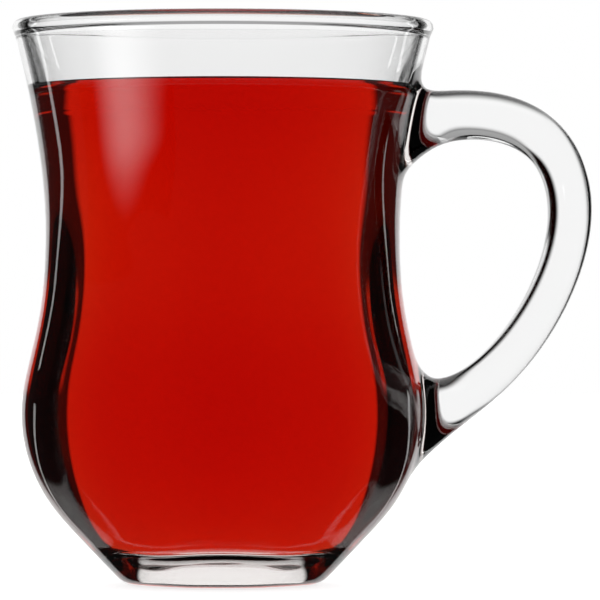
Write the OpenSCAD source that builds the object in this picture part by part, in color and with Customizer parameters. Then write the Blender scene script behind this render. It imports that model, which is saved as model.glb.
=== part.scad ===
// A pressed tea glass with a waist, eight soft upright panels and a looped handle, filled with tea.
// The origin is the centre of the foot, on the surface it stands on. +Z is up and the handle points along +X.

/* [Glass] */
// Height over all
height = 86.5; // [72:0.5:104]
// Diameter over the rounded rim
rim_d = 65; // [58:0.5:78]
// Thickness of the rounded rim
rim_bead = 2.5; // [2:0.1:3]
// Diameter across the waist
waist_d = 54.4; // [46:0.2:58]
// Height of the waist above the foot
waist_z = 54; // [45:0.5:62]
// Diameter across the bulge
bulge_d = 61.8; // [56:0.2:72]
// Height of the bulge's widest line
bulge_z = 26.3; // [22:0.1:32]
// Radius of the curve that turns in below the bulge
bulge_curve = 24.5; // [16:0.5:26]
// Diameter of the foot before its edge is rounded
foot_d = 30.4; // [26:0.2:38]
// Radius of the foot's rounded edge
foot_round = 3.5; // [1:0.5:5]

/* [Wall] */
// Wall just under the rounded rim
rim_wall = 1.6; // [1.2:0.1:2]
// Wall at the waist
waist_wall = 2.2; // [1.4:0.1:3.4]
// Wall at the bulge
bulge_wall = 2.5; // [1.4:0.1:4]
// Thickness of the solid floor
floor_t = 6.8; // [4:0.1:8]
// Diameter of the flat floor inside before its edge is rounded
floor_d = 34; // [28:0.2:36]
// Radius between the floor and the wall inside
floor_round = 4; // [1:0.5:5]
// Radius of the inside curve that turns in below the bulge
inside_curve = 19.5; // [14:0.5:20]

/* [Panels] */
// Number of upright panels
panels = 8; // [6:1:12]
// How crisp the edges between two panels are
panel_edge = 14; // [8:1:30]
// Height up to which the panels show, above which the wall is round
panel_top = 66; // [54:1:78]
// Height over which they fade in below that
panel_fade = 20; // [6:1:30]

/* [Handle] */
// Room for the fingers between the waist and the handle
finger_room = 22.7; // [16:0.1:28]
// Drop from the rim to the middle of the handle's upper root
root_drop = 16.3; // [12:0.1:20]
// Height of the middle of the handle's lower root
low_root_z = 25.2; // [20:0.1:30]
// Drop from the upper root to the handle's furthest point
elbow_drop = 13.2; // [10:0.1:16]
// Rise of the handle's shoulder above its upper root
shoulder_rise = 5.6; // [2:0.1:8]
// Depth of the handle seen from the side, near the upper root
top_deep = 7.6; // [5:0.1:9]
// Depth of the handle seen from the side, near the lower root
low_deep = 6.2; // [4:0.1:8]
// Width of the handle seen from its back
handle_wide = 8.6; // [6:0.1:12]
// How far the upper root spreads down the wall on the finger side
top_flare = 2.8; // [0:0.1:4]
// How far the lower root spreads up the wall on the finger side
low_flare = 5.5; // [0:0.1:7]

/* [Tea] */
// Free height between the tea and the top of the rim
headroom = 9.8; // [6:0.1:30]
// Gap between the tea and the wall
tea_gap = 0.02; // [0:0.01:0.2]

/* [Hidden] */

panel_sides = 6;          // flat facets that make up one panel
handle_sides = 16;        // points round the handle's section
handle_links = 12;        // links in each half of the handle
section_power = 2.6;      // squareness of the handle's section, 2 being an ellipse
flare_power = 1.7;        // how late the neck flares out to the rim
waist_power = 1.5;        // how long the waist stays slim above the bulge
side_flare = 1;           // how far each root spreads sideways
side_fade = 1.6;          // distance from the wall over which that fades
root_bite = 4;            // how far the handle's ends run past the outside of the wall
outer_flare = [1.6, 2.6]; // how far the upper and the lower root spread on the outer side
outer_fade = [0.9, 4.5];  // distance from the wall over which those fade
inner_fade = [3.2, 2.4];  // the same on the finger side

shoulder_pull = 0.74;     // how full the shoulder is, as a share of the handle's reach
elbow_pull = [0.83, 0.33]; // how long the handle stays upright above and below its furthest point
low_pull = 0.63;          // how long the handle stays level before the lower root
low_rise = 2.3;           // how much it rises from the lower root over that stretch

sides = panels * panel_sides;
bead_r = rim_bead / 2;
bead_at = [rim_d / 2 - bead_r, height - bead_r];
bead_join = acos(rim_wall / rim_bead); // angle below level at which the wall meets the rim
neck_z = bead_at[1] - bead_r * sin(bead_join);
tea_z = height - headroom;

// A wall: [foot z, foot r, edge radius, bulge r, bulge curve, waist r, neck r]
outer = [0, foot_d / 2, foot_round, bulge_d / 2, bulge_curve, waist_d / 2, bead_at[0] + rim_wall / 2];
inner = [floor_t, floor_d / 2, floor_round, bulge_d / 2 - bulge_wall, inside_curve,
         waist_d / 2 - waist_wall, bead_at[0] - rim_wall / 2];

function ease(t) = t * t * (3 - 2 * t);
function limit(t) = min(1, max(0, t));
function steps(low, high, n) = [for (i = [0 : n]) low + (high - low) * i / n];
function back(list) = [for (i = [len(list) - 1 : -1 : 0]) list[i]];

// The straight flank rises from the foot and meets the curve under the bulge at its tangent
function curve_centre(w) = [w[3] - w[4], bulge_z];
function touch_angle(w) = let (v = [w[1], w[0]] - curve_centre(w)) atan2(v[1], v[0]) + acos(w[4] / norm(v));
function touch(w) = let (a = touch_angle(w)) curve_centre(w) + w[4] * [cos(a), sin(a)];

// Radius of a wall at height z, measured to the middle of a panel
function wall_r(w, z) = let (t = touch(w))
    z < t[1] ? w[1] + (t[0] - w[1]) * (z - w[0]) / (t[1] - w[0]) :
    z < bulge_z ? curve_centre(w)[0] + sqrt(pow(w[4], 2) - pow(bulge_z - z, 2)) :
    z < waist_z ? w[5] + (w[3] - w[5]) * ease(pow((waist_z - z) / (waist_z - bulge_z), waist_power)) :
    w[5] + (w[6] - w[5]) * pow((z - waist_z) / (neck_z - waist_z), flare_power);

// The rounded edge between the flat foot, or floor, and the flank
function edge_arc(w) =
    let (turn = 90 + touch_angle(w), c = [w[1] - w[2] * tan(turn / 2), w[0] + w[2]])
    [for (a = steps(0, turn, 3)) c + w[2] * [sin(a), -cos(a)]];

// Outline of a wall as [r, z], from the flat foot or floor to the neck
function outline(w) = let (t = touch(w)) concat(
    edge_arc(w),
    [for (z = steps(t[1], bulge_z, 6)) [wall_r(w, z), z]],
    [for (z = steps(bulge_z, waist_z, 8)) if (z > bulge_z) [wall_r(w, z), z]],
    [for (z = steps(waist_z, neck_z, 7)) if (z > waist_z) [wall_r(w, z), z]]);

// The rounded rim, from the outside over the top to the inside
function bead() = let (all = steps(-bead_join, 180 + bead_join, 8))
    [for (i = [1 : len(all) - 2]) bead_at + bead_r * [cos(all[i]), sin(all[i])]];

// Panels are flat across the middle and soft at their edges. Each cosine stands for one panel.
function panel_sum(a, i) = i < 0 ? 0 : pow(max(0, cos(a - 360 * i / panels)), panel_edge) + panel_sum(a, i - 1);
function panel_r(a) = pow(panel_sum(a, panels - 1) / panel_sum(0, panels - 1), -1 / panel_edge);

function ring(r, z, share) = [for (i = [0 : sides - 1])
    let (a = 360 * i / sides, q = r * (1 + share * (panel_r(a) - 1))) [q * cos(a), q * sin(a), z]];
function round_ring(p) = ring(p[0], p[1], 0);
function panel_ring(p) = ring(p[0], p[1], ease(limit((panel_top - p[1]) / panel_fade)));

// Skins a stack of rings, with a flat face over the first and the last
module skin(rings) {
    n = len(rings[0]);
    last = (len(rings) - 1) * n;
    polyhedron(
        [for (r = rings) each r],
        concat(
            [[for (i = [0 : n - 1]) i]],
            [for (k = [0 : len(rings) - 2], i = [0 : n - 1]) let (j = (i + 1) % n)
                [k * n + i, (k + 1) * n + i, (k + 1) * n + j, k * n + j]],
            [[for (i = [n - 1 : -1 : 0]) last + i]]));
}

// The space inside the wall up to height top, larger all round by grow
module hollow(top, grow) {
    below = [for (p = outline(inner)) if (p[1] < top) p];
    skin([for (p = concat(below, [[wall_r(inner, top), top]]))
        round_ring([p[0] + grow, max(p[1], floor_t - grow)])]);
}

// The handle's centre line is two Bezier curves that meet at its furthest point
top_z = height - root_drop;
reach = waist_d / 2 + finger_room + (top_deep + low_deep) / 4;
root_top = [wall_r(outer, top_z) - root_bite, top_z];
root_low = [wall_r(outer, low_root_z) - root_bite, low_root_z];
elbow = [reach, top_z - elbow_drop];
upper_curve = [root_top, root_top + [shoulder_pull * (reach - root_top[0]), shoulder_rise],
               elbow + [0, elbow_pull[0] * elbow_drop], elbow];
lower_curve = [elbow, elbow - [0, elbow_pull[1] * (elbow[1] - low_root_z)],
               root_low + [low_pull * (reach - root_low[0]), low_rise], root_low];

function bezier(p, t) = let (s = 1 - t)
    s * s * s * p[0] + 3 * s * s * t * p[1] + 3 * s * t * t * p[2] + t * t * t * p[3];
function heading(p, t) = let (d = bezier(p, t + 0.001) - bezier(p, t - 0.001)) d / norm(d);
function bent(c) = sign(c) * pow(abs(c), 2 / section_power);

// One section of the handle, square to its centre line. Share runs from 0 at the top to 1 at the bottom.
function section(p, t, share) = let (
        c = bezier(p, t), d = heading(p, t),
        off = max(0, c[0] - wall_r(outer, c[1])), root = share < 0.5 ? 0 : 1,
        deep = (top_deep + (low_deep - top_deep) * ease(share)) / 2,
        outside = deep + outer_flare[root] * exp(-off / outer_fade[root]),
        inside = deep + [top_flare, low_flare][root] * exp(-off / inner_fade[root]),
        wide = handle_wide / 2 + side_flare * exp(-off / side_fade))
    [for (i = [0 : handle_sides - 1])
        let (a = 360 * (i + 0.5) / handle_sides, u = bent(cos(a)) * (cos(a) > 0 ? outside : inside))
        [c[0] - u * d[1], wide * bent(sin(a)), c[1] + u * d[0]]];

handle_rings = concat(
    [for (t = steps(0, 1, handle_links)) section(upper_curve, t, t / 2)],
    [for (i = [1 : handle_links]) section(lower_curve, i / handle_links, (1 + i / handle_links) / 2)]);

module link(a, b) hull() skin([a, b]);

module handle() difference() {
    for (i = [1 : len(handle_rings) - 1]) link(handle_rings[i - 1], handle_rings[i]);
    hollow(neck_z, rim_wall / 2);
}

module bowl() skin(concat(
    [for (p = outline(outer)) panel_ring(p)],
    [for (p = bead()) round_ring(p)],
    [for (p = back(outline(inner))) round_ring(p)]));

module glass() color([0.86, 0.9, 0.9, 0.45]) {
    bowl();
    handle();
}

module tea() color([0.62, 0.02, 0.01]) hollow(tea_z, -tea_gap);

glass();
tea();
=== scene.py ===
import math

import bpy
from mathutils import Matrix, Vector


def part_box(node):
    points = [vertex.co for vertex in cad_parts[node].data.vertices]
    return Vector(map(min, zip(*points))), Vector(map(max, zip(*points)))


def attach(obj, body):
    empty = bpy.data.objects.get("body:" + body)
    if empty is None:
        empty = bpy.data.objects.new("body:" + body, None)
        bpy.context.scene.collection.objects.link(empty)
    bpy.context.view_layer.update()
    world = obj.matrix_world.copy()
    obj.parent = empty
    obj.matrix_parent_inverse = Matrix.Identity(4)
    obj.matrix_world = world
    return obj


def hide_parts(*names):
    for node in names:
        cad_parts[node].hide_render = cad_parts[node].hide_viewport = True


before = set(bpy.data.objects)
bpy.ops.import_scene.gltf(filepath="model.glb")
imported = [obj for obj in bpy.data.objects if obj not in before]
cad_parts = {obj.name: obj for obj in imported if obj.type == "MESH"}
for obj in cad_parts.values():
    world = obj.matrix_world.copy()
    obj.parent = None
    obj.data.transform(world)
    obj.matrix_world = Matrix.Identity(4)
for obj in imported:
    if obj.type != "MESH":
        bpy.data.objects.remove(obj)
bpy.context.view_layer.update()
mm = 0.001
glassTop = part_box("glass")[1]
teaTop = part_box("tea")[1]
print("frame loaded")

# sizes are in millimetres here and turned into metres where the meshes are made
glassShape = {
    "around": 64,             # points in each ring, eight to a panel
    "panels": 8,
    "panelEdge": 14,          # crispness of the soft edges between panels
    "panelTop": 66,           # above this the wall is round
    "panelFade": 20,          # height over which the panels come in below that
    "beadRadius": 1.25,       # rounded rim
    "beadSteps": 10,
    "rimWall": 1.6,
    "rimCrease": 0.7,         # row just under the rim that keeps its root crisp
    "waistRadius": 27.2,
    "waistHeight": 54,
    "waistWall": 2.2,
    "bulgeRadius": 30.9,
    "bulgeHeight": 26.3,
    "bulgeCurve": 24.5,       # radius of the curve under the bulge
    "bulgeWall": 2.5,
    "insideCurve": 19.5,
    "footRadius": 15.2,
    "footRound": 3.5,
    "footLedge": 0.8,         # row just inside the foot's rounded edge
    # radius and height of the shallow recess under the foot, from its middle out
    "recess": ((2.5, 0.45), (7.0, 0.45), (9.0, 0.4), (10.4, 0.06), (11.4, 0.0)),
    "floorThick": 6.8,
    "floorRadius": 17.0,
    "floorRound": 4.0,
    "floorRings": (0.85, 0.5, 0.2),   # shares of the flat floor's radius
    "edgeSteps": 3,
    "flankRows": 5,           # from the foot's edge to the lower root
    "waistRows": 10,          # from the lower root to the upper one
    "neckRows": 2,            # from the upper root to the rim
    "insideTop": 2.5,         # drop from the neck to the first evenly spaced row inside
    "insideRows": 30,
    "flarePower": 1.7,        # how late the neck opens out
    "waistPower": 1.5,        # how long the waist stays slim
    "smoothing": 2,           # subdivision levels
}

handleShape = {
    "fingerRoom": 22.7,       # between the waist and the handle
    "rootDrop": 16.3,         # rim to the middle of the upper root
    "lowRoot": 25.2,          # height of the middle of the lower root
    "elbowDrop": 13.2,        # upper root to the furthest point
    "shoulderRise": 5.6,
    "shoulderPull": 0.74,
    "elbowPull": (0.83, 0.33),
    "lowPull": 0.63,
    "lowRise": 2.3,
    "topDeep": 7.6,
    "lowDeep": 6.2,
    "wide": 8.6,
    "squareness": 2.6,        # at the roots, 2 being a plain ellipse
    "fingerSquareness": 1.5,  # the same away from them, on the finger side and on the back
    "backSquareness": 2.1,
    "squareReach": (2, 7),    # distances from the wall over which one turns into the other
    "outerFlare": (0.9, 2.2),  # spread at the upper and the lower root
    "outerFade": (1.2, 4.5),
    "innerFlare": (1.8, 3.6),
    "innerFade": (3.2, 2.6),
    "rootBite": 4,
    "ringGap": 3.4,           # along the handle
    "rootStart": 2.6,         # first ring's distance from the wall
    "swell": 1.02,            # makes up for what the smoothing draws in
    "rootRows": 5,            # the wall's rows over each root, which is four columns wide
    "topFoot": (70.3, 6.9, 5.8),   # middle, half height and half width on the wall
    "lowFoot": (25.9, 8.0, 5.8),
}


def ease(t):
    t = min(1.0, max(0.0, t))
    return t * t * (3 - 2 * t)


def spread(low, high, count):
    return [low + (high - low) * i / count for i in range(count + 1)]


height = glassTop.z / mm
rimRadius = glassTop.y / mm
beadMiddle = (rimRadius - glassShape["beadRadius"], height - glassShape["beadRadius"])
beadJoin = math.acos(glassShape["rimWall"] / 2 / glassShape["beadRadius"])
neckHeight = beadMiddle[1] - glassShape["beadRadius"] * math.sin(beadJoin)


def wallSizes(inside):
    g = glassShape
    return {
        "footHeight": g["floorThick"] if inside else 0.0,
        "footRadius": g["floorRadius"] if inside else g["footRadius"],
        "edge": g["floorRound"] if inside else g["footRound"],
        "bulge": g["bulgeRadius"] - (g["bulgeWall"] if inside else 0),
        "curve": g["insideCurve"] if inside else g["bulgeCurve"],
        "waist": g["waistRadius"] - (g["waistWall"] if inside else 0),
        "neck": beadMiddle[0] + g["rimWall"] / 2 * (-1 if inside else 1),
    }


outerWall, innerWall = wallSizes(False), wallSizes(True)


# angle under level, and point, where the straight flank meets the curve below the bulge
def flankJoin(wall):
    middle = (wall["bulge"] - wall["curve"], glassShape["bulgeHeight"])
    toFoot = (wall["footRadius"] - middle[0], wall["footHeight"] - middle[1])
    angle = math.atan2(toFoot[1], toFoot[0]) + math.acos(wall["curve"] / math.hypot(*toFoot))
    return angle, (middle[0] + wall["curve"] * math.cos(angle), middle[1] + wall["curve"] * math.sin(angle))


def wallRadius(wall, z):
    g = glassShape
    joinRadius, joinHeight = flankJoin(wall)[1]
    if z < joinHeight:
        share = (z - wall["footHeight"]) / (joinHeight - wall["footHeight"])
        return wall["footRadius"] + (joinRadius - wall["footRadius"]) * share
    if z < g["bulgeHeight"]:
        return wall["bulge"] - wall["curve"] + math.sqrt(wall["curve"] ** 2 - (g["bulgeHeight"] - z) ** 2)
    if z < g["waistHeight"]:
        share = (g["waistHeight"] - z) / (g["waistHeight"] - g["bulgeHeight"])
        return wall["waist"] + (wall["bulge"] - wall["waist"]) * ease(share ** g["waistPower"])
    share = (z - g["waistHeight"]) / (neckHeight - g["waistHeight"])
    return wall["waist"] + (wall["neck"] - wall["waist"]) * share ** g["flarePower"]


# the rounded edge of the foot or of the floor inside, up to where the flank starts
def edgeArc(wall, count):
    turn = math.pi / 2 + flankJoin(wall)[0]
    middle = (wall["footRadius"] - wall["edge"] * math.tan(turn / 2), wall["footHeight"] + wall["edge"])
    return [(middle[0] + wall["edge"] * math.sin(a), middle[1] - wall["edge"] * math.cos(a))
            for a in spread(0, turn, count)]


def panelSum(angle):
    count = glassShape["panels"]
    pitch = 2 * math.pi / count
    return sum(max(0.0, math.cos(angle - i * pitch)) ** glassShape["panelEdge"] for i in range(count))


def panelFactor(angle, z):
    share = ease((glassShape["panelTop"] - z) / glassShape["panelFade"])
    return 1 + share * ((panelSum(angle) / panelSum(0)) ** (-1 / glassShape["panelEdge"]) - 1)


def outsidePoint(angle, z, radius):
    q = radius * panelFactor(angle, z)
    return (q * math.cos(angle), q * math.sin(angle), z)


# point on the outside of the wall at sideways distance y and height z, on the handle's side
def pointBeside(y, z):
    radius = wallRadius(outerWall, z)
    angle = 0.0
    for _ in range(6):
        angle = math.asin(y / (radius * panelFactor(angle, z)))
    return outsidePoint(angle, z, radius)


def bent(c, squareness=handleShape["squareness"]):
    return math.copysign(abs(c) ** (2 / squareness), c)


def bezier(p, t):
    s = 1 - t
    return tuple(s ** 3 * p[0][k] + 3 * s * s * t * p[1][k] + 3 * s * t * t * p[2][k] + t ** 3 * p[3][k]
                 for k in (0, 1))


# the handle's centre line in x and z: two curves that meet at its furthest point
def handleCurves():
    h = handleShape
    topZ = height - h["rootDrop"]
    reach = glassShape["waistRadius"] + h["fingerRoom"] + (h["topDeep"] + h["lowDeep"]) / 4
    top = (wallRadius(outerWall, topZ) - h["rootBite"], topZ)
    low = (wallRadius(outerWall, h["lowRoot"]) - h["rootBite"], h["lowRoot"])
    elbow = (reach, topZ - h["elbowDrop"])
    upper = [top, (top[0] + h["shoulderPull"] * (reach - top[0]), topZ + h["shoulderRise"]),
             (reach, elbow[1] + h["elbowPull"][0] * h["elbowDrop"]), elbow]
    lower = [elbow, (reach, elbow[1] - h["elbowPull"][1] * (elbow[1] - h["lowRoot"])),
             (low[0] + h["lowPull"] * (reach - low[0]), low[1] + h["lowRise"]), low]
    return upper, lower


# eighteen places round the handle's section: four sides of four, five, four and five steps
loopAngles = [math.radians(a) for a in
              [-45, -22.5, 0, 22.5, 45, 63, 81, 99, 117, 135, 157.5, 180, 202.5, 225, 243, 261, 279, 297]]


def handleSection(middle, heading, share):
    h = handleShape
    root = 0 if share < 0.5 else 1
    off = max(0.0, middle[0] - wallRadius(outerWall, middle[1]))
    deep = (h["topDeep"] + (h["lowDeep"] - h["topDeep"]) * ease(share)) / 2
    outside = deep + h["outerFlare"][root] * math.exp(-off / h["outerFade"][root])
    inside = deep + h["innerFlare"][root] * math.exp(-off / h["innerFade"][root])
    near, far = h["squareReach"]
    ring = []
    for a in loopAngles:
        away = h["fingerSquareness"] if math.cos(a) < 0 else h["backSquareness"]
        power = h["squareness"] + (away - h["squareness"]) * ease((off - near) / (far - near))
        u = bent(math.cos(a), power) * (outside if math.cos(a) > 0 else inside) * h["swell"]
        v = bent(math.sin(a), power) * h["wide"] / 2 * h["swell"]
        ring.append((middle[0] - u * heading[1], v, middle[1] + u * heading[0]))
    return ring


# sections evenly spaced between the two roots
def handleRings():
    h = handleShape
    fine = 200
    path = []
    for half, curve in enumerate(handleCurves()):
        for i in range(0 if half == 0 else 1, fine + 1):
            path.append((bezier(curve, i / fine), (half + i / fine) / 2))
    clear = [(p, s) for p, s in path if p[0] - wallRadius(outerWall, p[1]) > h["rootStart"]]
    along = [0.0]
    for i in range(1, len(clear)):
        along.append(along[-1] + math.dist(clear[i - 1][0], clear[i][0]))
    count = round(along[-1] / h["ringGap"])
    rings = []
    for k in range(count + 1):
        i = min(range(len(along)), key=lambda n: abs(along[n] - along[-1] * k / count))
        before, after = clear[max(0, i - 2)][0], clear[min(len(clear) - 1, i + 2)][0]
        length = math.dist(before, after)
        heading = ((after[0] - before[0]) / length, (after[1] - before[1]) / length)
        rings.append(handleSection(clear[i][0], heading, clear[i][1]))
    return rings


# heights of the outer wall's rows, and the number of the first row of each root
def outerRows():
    g, h = glassShape, handleShape
    top, low = h["topFoot"], h["lowFoot"]
    lowBand = spread(low[0] - low[1], low[0] + low[1], h["rootRows"])
    topBand = spread(top[0] - top[1], top[0] + top[1], h["rootRows"])
    start = edgeArc(outerWall, g["edgeSteps"])[-1][1]
    rows = spread(start, lowBand[0], g["flankRows"])[1:-1] + lowBand
    rows += spread(lowBand[-1], topBand[0], g["waistRows"])[1:-1] + topBand
    rows += spread(topBand[-1], neckHeight - g["rimCrease"], g["neckRows"])[1:] + [neckHeight]
    return rows, rows.index(lowBand[0]), rows.index(topBand[0])


# column and row of each place on a root's outline, in the order of loopAngles
rootOutline = [(-2, 5), (-1, 5), (0, 5), (1, 5), (2, 5), (2, 4), (2, 3), (2, 2), (2, 1),
               (2, 0), (1, 0), (0, 0), (-1, 0), (-2, 0), (-2, 1), (-2, 2), (-2, 3), (-2, 4)]


# place on the root's outline of a column and row of the wall, and the point it moves to
def rootPlace(column, row, footprint, side):
    spot = (column, row if side > 0 else handleShape["rootRows"] - row)
    if spot not in rootOutline:
        return None, None
    place = rootOutline.index(spot)
    a = loopAngles[place]
    middle, halfHigh, halfWide = footprint
    return place, pointBeside(halfWide * bent(math.sin(a)), middle + side * halfHigh * bent(math.cos(a)))


# one closed mesh: underside, outer wall with the handle growing out of it, rim, inner wall, floor
def glassMesh():
    g = glassShape
    n = g["around"]
    turn = [2 * math.pi * i / n for i in range(n)]
    points, faces = [], []

    def addRing(ring):
        points.extend(ring)
        return list(range(len(points) - len(ring), len(points)))

    def roundRing(radius, z):
        return [(radius * math.cos(a), radius * math.sin(a), z) for a in turn]

    def join(a, b, skip=()):
        for i in range(len(a)):
            if i not in skip:
                j = (i + 1) % len(a)
                faces.append((a[i], a[j], b[j], b[i]))

    edge = edgeArc(outerWall, g["edgeSteps"])
    under = [addRing(roundRing(r, z)) for r, z in g["recess"] + ((edge[0][0] - g["footLedge"], 0.0),)]
    faces.append(tuple(reversed(under[0])))
    for a, b in zip(under, under[1:]):
        join(a, b)
    last = under[-1]
    for r, z in edge:
        ring = addRing([outsidePoint(a, z, r) for a in turn])
        join(last, ring)
        last = ring

    rows, lowFirst, topFirst = outerRows()
    loops = {1: [None] * len(loopAngles), -1: [None] * len(loopAngles)}
    roots = ((handleShape["topFoot"], topFirst, 1), (handleShape["lowFoot"], lowFirst, -1))
    for row, z in enumerate(rows):
        ring = [outsidePoint(a, z, wallRadius(outerWall, z)) for a in turn]
        for column in range(-2, 3):
            for footprint, firstRow, side in roots:
                place, moved = rootPlace(column, row - firstRow, footprint, side)
                if place is not None:
                    ring[column % n] = moved
                    loops[side][place] = len(points) + column % n
        ring = addRing(ring)
        inRoot = any(0 < row - first <= handleShape["rootRows"] for first in (lowFirst, topFirst))
        join(last, ring, skip=(n - 2, n - 1, 0, 1) if inRoot else ())
        last = ring

    rings = [addRing(ring) for ring in handleRings()]
    for a, b in zip([loops[1]] + rings, rings + [loops[-1]]):
        join(b, a)

    for a in spread(-beadJoin, math.pi + beadJoin, g["beadSteps"])[1:-1]:
        ring = addRing(roundRing(beadMiddle[0] + g["beadRadius"] * math.cos(a),
                                 beadMiddle[1] + g["beadRadius"] * math.sin(a)))
        join(last, ring)
        last = ring
    inside = edgeArc(innerWall, g["edgeSteps"])
    heights = [neckHeight, neckHeight - g["rimCrease"]]
    heights += spread(neckHeight - g["insideTop"], inside[-1][1], g["insideRows"])[:-1]
    inside = [(wallRadius(innerWall, z), z) for z in heights] + inside[::-1]
    inside += [(inside[-1][0] * share, g["floorThick"]) for share in g["floorRings"]]
    for r, z in inside:
        ring = addRing(roundRing(r, z))
        join(last, ring)
        last = ring
    faces.append(tuple(last))
    # the wall's points inside the roots belong to no face and are left out
    used = sorted({i for f in faces for i in f})
    new = {old: i for i, old in enumerate(used)}
    return [points[i] for i in used], [tuple(new[i] for i in f) for f in faces]


def makePiece(name, points, faces, levels, material):
    mesh = bpy.data.meshes.new(name)
    mesh.from_pydata([tuple(c * mm for c in p) for p in points], [], faces)
    mesh.validate()
    piece = bpy.data.objects.new(name, mesh)
    bpy.context.scene.collection.objects.link(piece)
    for polygon in mesh.polygons:
        polygon.use_smooth = True
    if levels:
        smooth = piece.modifiers.new("smooth", "SUBSURF")
        smooth.levels = levels
        smooth.render_levels = levels
    mesh.materials.append(material)
    return piece


teaShape = {
    "intoWall": 0.15,         # how far the tea reaches into the glass
    "meniscusHigh": 1.2,      # climb at the wall
    "meniscusWide": 1.5,
    "around": 128,
    "edgeSteps": 4,
    "wallRows": 40,
    # rings of the top, by their distance from the wall, and of the bottom, by their share of its radius
    "topRings": (0.35, 0.8, 1.4, 2.2, 3.2, 5, 9, 15, 22),
    "topMiddle": 1.5,         # radius of the smallest ring
    "bottomRings": (0.1, 0.6),
}


def teaMesh():
    t = teaShape
    into = t["intoWall"]
    contact = teaTop.z / mm
    level = contact - t["meniscusHigh"]
    turn = [2 * math.pi * i / t["around"] for i in range(t["around"])]
    edge = edgeArc(innerWall, t["edgeSteps"])
    outline = [(edge[0][0] * share, edge[0][1] - into) for share in t["bottomRings"]]
    outline += [(r + into * 0.5, z - into * 0.8) for r, z in edge]
    outline += [(wallRadius(innerWall, z) + into, z) for z in spread(edge[-1][1], contact, t["wallRows"])[1:]]
    radius = outline[-1][0]
    for depth in t["topRings"] + (radius - t["topMiddle"],):
        rise = t["meniscusHigh"] * math.exp(-max(0, depth - into) / t["meniscusWide"])
        outline.append((radius - depth, level + rise))
    points, faces = [], []
    n = len(turn)
    for r, z in outline:
        points += [(r * math.cos(a), r * math.sin(a), z) for a in turn]
    faces.append(tuple(range(n))[::-1])
    for k in range(len(outline) - 1):
        for i in range(n):
            j = (i + 1) % n
            faces.append((k * n + i, k * n + j, (k + 1) * n + j, (k + 1) * n + i))
    faces.append(tuple(range((len(outline) - 1) * n, len(outline) * n)))
    return points, faces


rippleLook = {
    "scale": 60,
    "depth": 0.0002,
    "detail": 1.5,
    "roughness": 0.4,
}


# slow ripples of a pressed and fire polished surface, shared by the glass and the tea
def rippleGroup():
    group = bpy.data.node_groups.new("surfaceRipple", "ShaderNodeTree")
    face = group.interface
    scale = face.new_socket("Scale", in_out="INPUT", socket_type="NodeSocketFloat")
    scale.default_value = rippleLook["scale"]
    depth = face.new_socket("Depth", in_out="INPUT", socket_type="NodeSocketFloat")
    depth.default_value = rippleLook["depth"]
    face.new_socket("Normal", in_out="OUTPUT", socket_type="NodeSocketVector")
    nodes, links = group.nodes, group.links
    inside = nodes.new("NodeGroupInput")
    outside = nodes.new("NodeGroupOutput")
    place = nodes.new("ShaderNodeTexCoord")
    noise = nodes.new("ShaderNodeTexNoise")
    noise.inputs["Detail"].default_value = rippleLook["detail"]
    noise.inputs["Roughness"].default_value = rippleLook["roughness"]
    bump = nodes.new("ShaderNodeBump")
    bump.inputs["Strength"].default_value = 1.0
    links.new(place.outputs["Object"], noise.inputs["Vector"])
    links.new(inside.outputs["Scale"], noise.inputs["Scale"])
    links.new(noise.outputs["Fac"], bump.inputs["Height"])
    links.new(inside.outputs["Depth"], bump.inputs["Distance"])
    links.new(bump.outputs["Normal"], outside.inputs["Normal"])
    return group


ripple = rippleGroup()


def newMaterial(name):
    material = bpy.data.materials.new(name)
    material.use_nodes = True
    material.node_tree.nodes.clear()
    out = material.node_tree.nodes.new("ShaderNodeOutputMaterial")
    shader = material.node_tree.nodes.new("ShaderNodeBsdfPrincipled")
    material.node_tree.links.new(shader.outputs["BSDF"], out.inputs["Surface"])
    return material, shader, out


def clearMaterial(name, finish):
    material, shader, out = newMaterial(name)
    nodes, links = material.node_tree.nodes, material.node_tree.links
    shader.inputs["Base Color"].default_value = (1, 1, 1, 1)
    shader.inputs["IOR"].default_value = finish["ior"]
    shader.inputs["Roughness"].default_value = 0.0
    shader.inputs["Transmission Weight"].default_value = 1
    volume = nodes.new("ShaderNodeVolumeAbsorption")
    volume.inputs["Color"].default_value = finish["colour"]
    volume.inputs["Density"].default_value = finish["density"]
    links.new(volume.outputs["Volume"], out.inputs["Volume"])
    surface = nodes.new("ShaderNodeGroup")
    surface.node_tree = ripple
    surface.inputs["Scale"].default_value = finish["rippleScale"]
    surface.inputs["Depth"].default_value = finish["rippleDepth"]
    links.new(surface.outputs["Normal"], shader.inputs["Normal"])
    return material


# the density says how fast the light takes on the colour with depth
glassFinish = {
    "ior": 1.52,
    "colour": (0.93, 0.96, 0.95, 1),
    "density": 8.0,
    "rippleScale": 70,
    "rippleDepth": 0.00004,
}

clearGlass = clearMaterial("clearGlass", glassFinish)
glass = makePiece("glassBody", *glassMesh(), glassShape["smoothing"], clearGlass)
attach(glass, "root")
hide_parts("glass")
print("glass made:", len(glass.data.polygons), "faces before smoothing")

teaFinish = {
    "ior": 1.333,
    "colour": (0.928, 0.28, 0.01, 1),
    "density": 150.0,
    "rippleScale": 35,
    "rippleDepth": 0.00002,
}

tea = makePiece("teaFill", *teaMesh(), 0, clearMaterial("redTea", teaFinish))
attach(tea, "root")
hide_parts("tea")
print("tea made:", len(tea.data.polygons), "faces")

cameraSetup = {
    "away": 0.75,
    "viewWidth": 0.0922,      # at the glass
    "sensor": 36,
    "side": 0.01184,
    "high": 0.0435,
}


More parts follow.
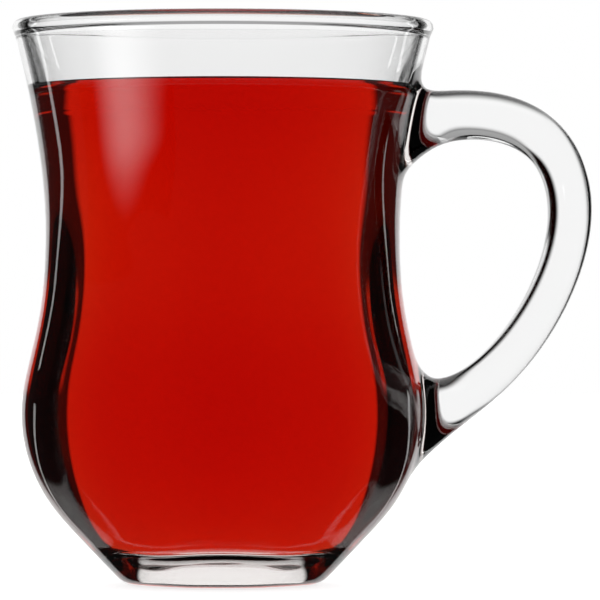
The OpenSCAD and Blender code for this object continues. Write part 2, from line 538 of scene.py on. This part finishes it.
def makeCamera():
    c = cameraSetup
    data = bpy.data.cameras.new("camera")
    data.sensor_width = c["sensor"]
    data.lens = c["sensor"] * c["away"] / c["viewWidth"]
    camera = bpy.data.objects.new("camera", data)
    camera.location = (c["side"], -c["away"], c["high"])
    camera.rotation_euler = (math.pi / 2, 0, 0)
    bpy.context.scene.collection.objects.link(camera)
    bpy.context.scene.camera = camera
    bpy.context.view_layer.update()
    return camera


camera = makeCamera()

floorLook = {
    "size": 3.0,
    "below": 0.0002,          # clear of the foot, so the two faces don't fight
    "grey": 0.6,
    "roughness": 0.8,
    "glow": 0.8,
}


def makeFloor():
    f = floorLook
    half = f["size"] / 2
    mesh = bpy.data.meshes.new("floor")
    corners = [(-half, -half, 0), (half, -half, 0), (half, half, 0), (-half, half, 0)]
    mesh.from_pydata(corners, [], [(0, 1, 2, 3)])
    floor = bpy.data.objects.new("floor", mesh)
    floor.location.z = -f["below"]
    bpy.context.scene.collection.objects.link(floor)
    material, shader, out = newMaterial("paleFloor")
    shader.inputs["Base Color"].default_value = (f["grey"], f["grey"], f["grey"], 1)
    shader.inputs["Roughness"].default_value = f["roughness"]
    shader.inputs["Emission Color"].default_value = (1, 1, 1, 1)
    shader.inputs["Emission Strength"].default_value = f["glow"]
    mesh.materials.append(material)
    floor.visible_glossy = False
    floor.visible_transmission = False


makeFloor()


def makeWorld():
    world = bpy.data.worlds.new("studio")
    bpy.context.scene.world = world
    world.use_nodes = True
    world.node_tree.nodes["Background"].inputs["Color"].default_value = (1, 1, 1, 1)


makeWorld()


def addMath(tree, operation, a, b=None, c=None):
    node = tree.nodes.new("ShaderNodeMath")
    node.operation = operation
    for socket, value in zip(node.inputs, (a, b, c)):
        if value is None:
            continue
        if isinstance(value, (int, float)):
            socket.default_value = value
        else:
            tree.links.new(value, socket)
    return node.outputs["Value"]


# 0 at start and 1 at full, whichever of the two is higher
def addRamp(tree, value, start, full, smooth=True):
    node = tree.nodes.new("ShaderNodeMapRange")
    if smooth:
        node.interpolation_type = "SMOOTHSTEP"
    for name, bound in (("From Min", start), ("From Max", full)):
        if isinstance(bound, (int, float)):
            node.inputs[name].default_value = bound
        else:
            tree.links.new(bound, node.inputs[name])
    tree.links.new(value, node.inputs["Value"])
    return node.outputs["Result"]


def addProduct(tree, *values):
    product = values[0]
    for value in values[1:]:
        product = addMath(tree, "MULTIPLY", product, value)
    return product


def addLargest(tree, *values):
    largest = values[0]
    for value in values[1:]:
        largest = addMath(tree, "MAXIMUM", largest, value)
    return largest


def addChoice(tree, factor, a, b):
    node = tree.nodes.new("ShaderNodeMix")
    for name, value in (("Factor", factor), ("A", a), ("B", b)):
        tree.links.new(value, node.inputs[name])
    return node.outputs["Result"]


def glowMaterial(name):
    material = bpy.data.materials.new(name)
    material.use_nodes = True
    tree = material.node_tree
    tree.nodes.clear()
    out = tree.nodes.new("ShaderNodeOutputMaterial")
    glow = tree.nodes.new("ShaderNodeEmission")
    tree.links.new(glow.outputs["Emission"], out.inputs["Surface"])
    place = tree.nodes.new("ShaderNodeTexCoord")
    split = tree.nodes.new("ShaderNodeSeparateXYZ")
    tree.links.new(place.outputs["Object"], split.inputs["Vector"])
    return material, tree, glow, split


# the kinds of light path that see a stage piece, out of all that could
def showOnlyTo(piece, kinds):
    for kind in ("camera", "diffuse", "glossy", "transmission", "shadow", "volume_scatter"):
        setattr(piece, "visible_" + kind, kind in kinds)


# lengths in metres, angles in degrees seen from the glass, zero being straight away from the
# camera and level; each pair of angles is where a patch of light starts and where it is full
tunnel = {
    "side": 3.0,              # half its width
    "rise": 4.5,              # half its height
    "past": 13.0,             # how far it reaches past the glass
    "behind": 2.0,            # how far it reaches behind the camera
    "fewPasses": 2.5,         # under this many the light came through the handle or one wall alone
    "manyPasses": 4.5,        # over this many it came through the tea, between them the empty neck
    "open": (31.5, 27.5),     # the white opening at the far end
    "steep": (-62, -50),
    "neckOpen": (16.5, 13.5),  # the same for the empty neck, which is dimmer to the sides
    "neckDim": 0.72,
    "neckClimb": (22, 16),
    "handleOpen": (30.0, 20.0),
    "handleClimb": (36.0, 20.0),
    "roof": (48.0, 56.0),
    "roofGlow": 0.4,
    "lowRoof": (24.0, 34.0),  # seen wherever there is no tea in the way
    "lowRoofGlow": 0.4,
    "beneath": (-28.0, -40.0),  # table seen by light led steeply down
    "beneathGlow": 0.5,
    "table": (-4.0, -10.0),
    "tableStart": (34.0, 42.0),
    "tableEnd": 110.0,
    "tableEndTea": 58.0,
    "tableFade": 6.0,
    "tableGlow": 0.8,
    "farSide": (50.0, 58.0),  # beyond the cloth, seen by the handle
    "farSideGlow": 0.75,
    "teaPaintedGlow": 0.07,          # painted dim light that the black cloth shows only through the tea
    "stripMiddle": 59.0,      # upright side lights, mirrored only
    "stripHalf": 2.8,
    "stripCore": 0.4,         # share of that which is full bright
    "stripLean": 0.047,       # how they close in away from level, by the square of the climb
    "stripClimb": (30.0, 24.0),
    "stripGlow": 2.2,
    "shine": 0.02,            # what the rest gives to reflections
}


# black cloth round the set, open at the far end, with patches of painted light on it that glow by the path a
# ray took: the glass alone sees it
def makeTunnel():
    t = tunnel
    away = cameraSetup["away"]
    near, far = t["behind"], -away - t["past"]
    corners = ((-1, -1), (1, -1), (1, 1), (-1, 1))
    points = [(x * t["side"], y * t["rise"], z) for z in (near, far) for x, y in corners]
    faces = [(0, 1, 2, 3)] + [(i, (i + 1) % 4, (i + 1) % 4 + 4, i + 4) for i in range(4)]
    mesh = bpy.data.meshes.new("blackTunnelPaintedLight")
    mesh.from_pydata(points, [], faces)
    piece = bpy.data.objects.new("blackTunnelPaintedLight", mesh)
    piece.parent = camera
    bpy.context.scene.collection.objects.link(piece)
    material, tree, glow, split = glowMaterial("blackClothPaintedLight")

    # how the light got here
    path = tree.nodes.new("ShaderNodeLightPath")
    passes = path.outputs["Transmission Depth"]
    straight = addMath(tree, "LESS_THAN", path.outputs["Glossy Depth"], 0.5)
    bare = addMath(tree, "LESS_THAN", passes, t["fewPasses"])
    notBare = addMath(tree, "GREATER_THAN", passes, t["fewPasses"])
    tinted = addMath(tree, "GREATER_THAN", passes, t["manyPasses"])
    untinted = addMath(tree, "LESS_THAN", passes, t["manyPasses"])

    # where on the cloth this is
    ahead = addMath(tree, "MULTIPLY_ADD", split.outputs["Z"], -1.0, -away)
    aside = addMath(tree, "ABSOLUTE", split.outputs["X"])
    flat = addMath(tree, "ADD", addProduct(tree, ahead, ahead), addProduct(tree, aside, aside))
    flat = addMath(tree, "SQRT", flat)
    around = addMath(tree, "DEGREES", addMath(tree, "ARCTAN2", aside, ahead))
    climb = addMath(tree, "DEGREES", addMath(tree, "ARCTAN2", split.outputs["Y"], flat))
    offLevel = addMath(tree, "ABSOLUTE", climb)

    # the opening, which the neck and the handle see narrower
    wide = addRamp(tree, around, *t["open"])
    dim = addRamp(tree, around, t["neckOpen"][0], 0, smooth=False)
    dim = addMath(tree, "MULTIPLY_ADD", dim, 1 - t["neckDim"], t["neckDim"])
    narrow = addProduct(tree, dim, addRamp(tree, around, *t["neckOpen"]))
    neck = addProduct(tree, straight, notBare, untinted, addRamp(tree, offLevel, *t["neckClimb"]))
    handle = addRamp(tree, around, *t["handleOpen"])
    handle = addProduct(tree, handle, addRamp(tree, offLevel, *t["handleClimb"]))
    notSteep = addRamp(tree, climb, *t["steep"])
    opening = addChoice(tree, bare, addChoice(tree, neck, wide, narrow), handle)
    opening = addProduct(tree, opening, notSteep)

    # painted light from above, from the table and from beyond the cloth
    roof = addProduct(tree, addRamp(tree, climb, *t["roof"]), t["roofGlow"])
    lowRoof = addProduct(tree, addRamp(tree, climb, *t["lowRoof"]), t["lowRoofGlow"], untinted)
    beneath = addProduct(tree, addRamp(tree, climb, *t["beneath"]), t["beneathGlow"], straight, notBare)
    end = addMath(tree, "MULTIPLY_ADD", tinted, t["tableEndTea"] - t["tableEnd"], t["tableEnd"])
    fade = addMath(tree, "ADD", end, t["tableFade"])
    table = addProduct(tree, addRamp(tree, climb, *t["table"]), addRamp(tree, around, *t["tableStart"]),
                       t["tableGlow"], addLargest(tree, straight, tinted), addRamp(tree, around, fade, end))
    farSide = addProduct(tree, addRamp(tree, around, *t["farSide"]), t["farSideGlow"], bare, straight)
    teaPaintedGlow = addProduct(tree, tinted, t["teaPaintedGlow"])
    seen = addLargest(tree, opening, roof, lowRoof, beneath, table, farSide, teaPaintedGlow)

    # painted reflections: what the surfaces mirror
    middle = addMath(tree, "MULTIPLY_ADD", addProduct(tree, climb, climb), -t["stripLean"], t["stripMiddle"])
    offStrip = addMath(tree, "ABSOLUTE", addMath(tree, "SUBTRACT", around, middle))
    strip = addRamp(tree, offStrip, t["stripHalf"], t["stripHalf"] * t["stripCore"])
    strip = addProduct(tree, strip, addRamp(tree, offLevel, *t["stripClimb"]), t["stripGlow"])
    mirrored = addLargest(tree, strip, roof, addProduct(tree, wide, notSteep), t["shine"])

    # painted light and shade: the glass sees one glow in its reflections and another through it
    shown = addChoice(tree, path.outputs["Is Transmission Ray"], mirrored, seen)
    tree.links.new(shown, glow.inputs["Strength"])
    mesh.materials.append(material)
    showOnlyTo(piece, ("glossy", "transmission"))


makeTunnel()

card = {
    "angle": 56,              # to the camera's left, seen from the glass
    "away": 0.12,
    "low": 0.033,
    "high": 0.060,
    "lowHalf": 0.07,          # half the width that glows, at its foot and at its top
    "highHalf": 0.02,
    "glow": 5.5,
    "reach": 0.25,            # it lights nothing further off than this
    "flagHalf": 0.14,
    "flagBack": 0.001,        # the flag starts this far behind the card
    "flagUnder": 0.0005,      # and this far under it
    "flagNear": 0.045,        # and ends this far from the middle of the glass
    "flagHigh": 0.041,
}


# a low card at the front left that shines only in the glass's outer surface, over a black flag
def makeCard():
    c = card
    low, high, half = c["low"], c["high"], c["lowHalf"]
    flag, flagFoot, flagTop = c["flagHalf"], low - c["flagUnder"], c["flagHigh"]
    near, back = c["away"] - c["flagNear"], -c["flagBack"]
    points = [(-half, 0, low), (half, 0, low), (half, 0, high), (-half, 0, high),
              (-flag, back, flagFoot), (flag, back, flagFoot), (flag, near, flagTop), (-flag, near, flagTop)]
    mesh = bpy.data.meshes.new("lightCard")
    mesh.from_pydata(points, [], [(0, 1, 2, 3), (4, 5, 6, 7)])
    piece = bpy.data.objects.new("lightCard", mesh)
    a = math.radians(c["angle"])
    piece.location = (-c["away"] * math.sin(a), -c["away"] * math.cos(a), 0)
    piece.rotation_euler.z = -a
    piece.parent = camera
    piece.matrix_parent_inverse = camera.matrix_world.inverted()
    bpy.context.scene.collection.objects.link(piece)

    material, tree, glow, split = glowMaterial("lightCard")
    widen = tree.nodes.new("ShaderNodeMapRange")
    sizes = {"From Min": low, "From Max": high, "To Min": half, "To Max": c["highHalf"]}
    for name, value in sizes.items():
        widen.inputs[name].default_value = value
    tree.links.new(split.outputs["Z"], widen.inputs["Value"])
    offMiddle = addMath(tree, "ABSOLUTE", split.outputs["X"])
    offMiddle = addMath(tree, "DIVIDE", offMiddle, widen.outputs["Result"])
    path = tree.nodes.new("ShaderNodeLightPath")
    outer = addMath(tree, "LESS_THAN", path.outputs["Transmission Depth"], 0.5)
    close = addMath(tree, "LESS_THAN", path.outputs["Ray Length"], c["reach"])
    upFade = addRamp(tree, split.outputs["Z"], high, low)
    sideFade = addRamp(tree, offMiddle, 1.0, 0.0)
    strength = addProduct(tree, upFade, sideFade, outer, close, c["glow"])
    tree.links.new(strength, glow.inputs["Strength"])
    mesh.materials.append(material)
    black, tree, glow, split = glowMaterial("blackFlag")
    glow.inputs["Strength"].default_value = tunnel["shine"]
    mesh.materials.append(black)
    mesh.polygons[1].material_index = 1
    showOnlyTo(piece, ("glossy",))


makeCard()
bpy.context.scene.view_settings.view_transform = "Standard"
print("studio set")
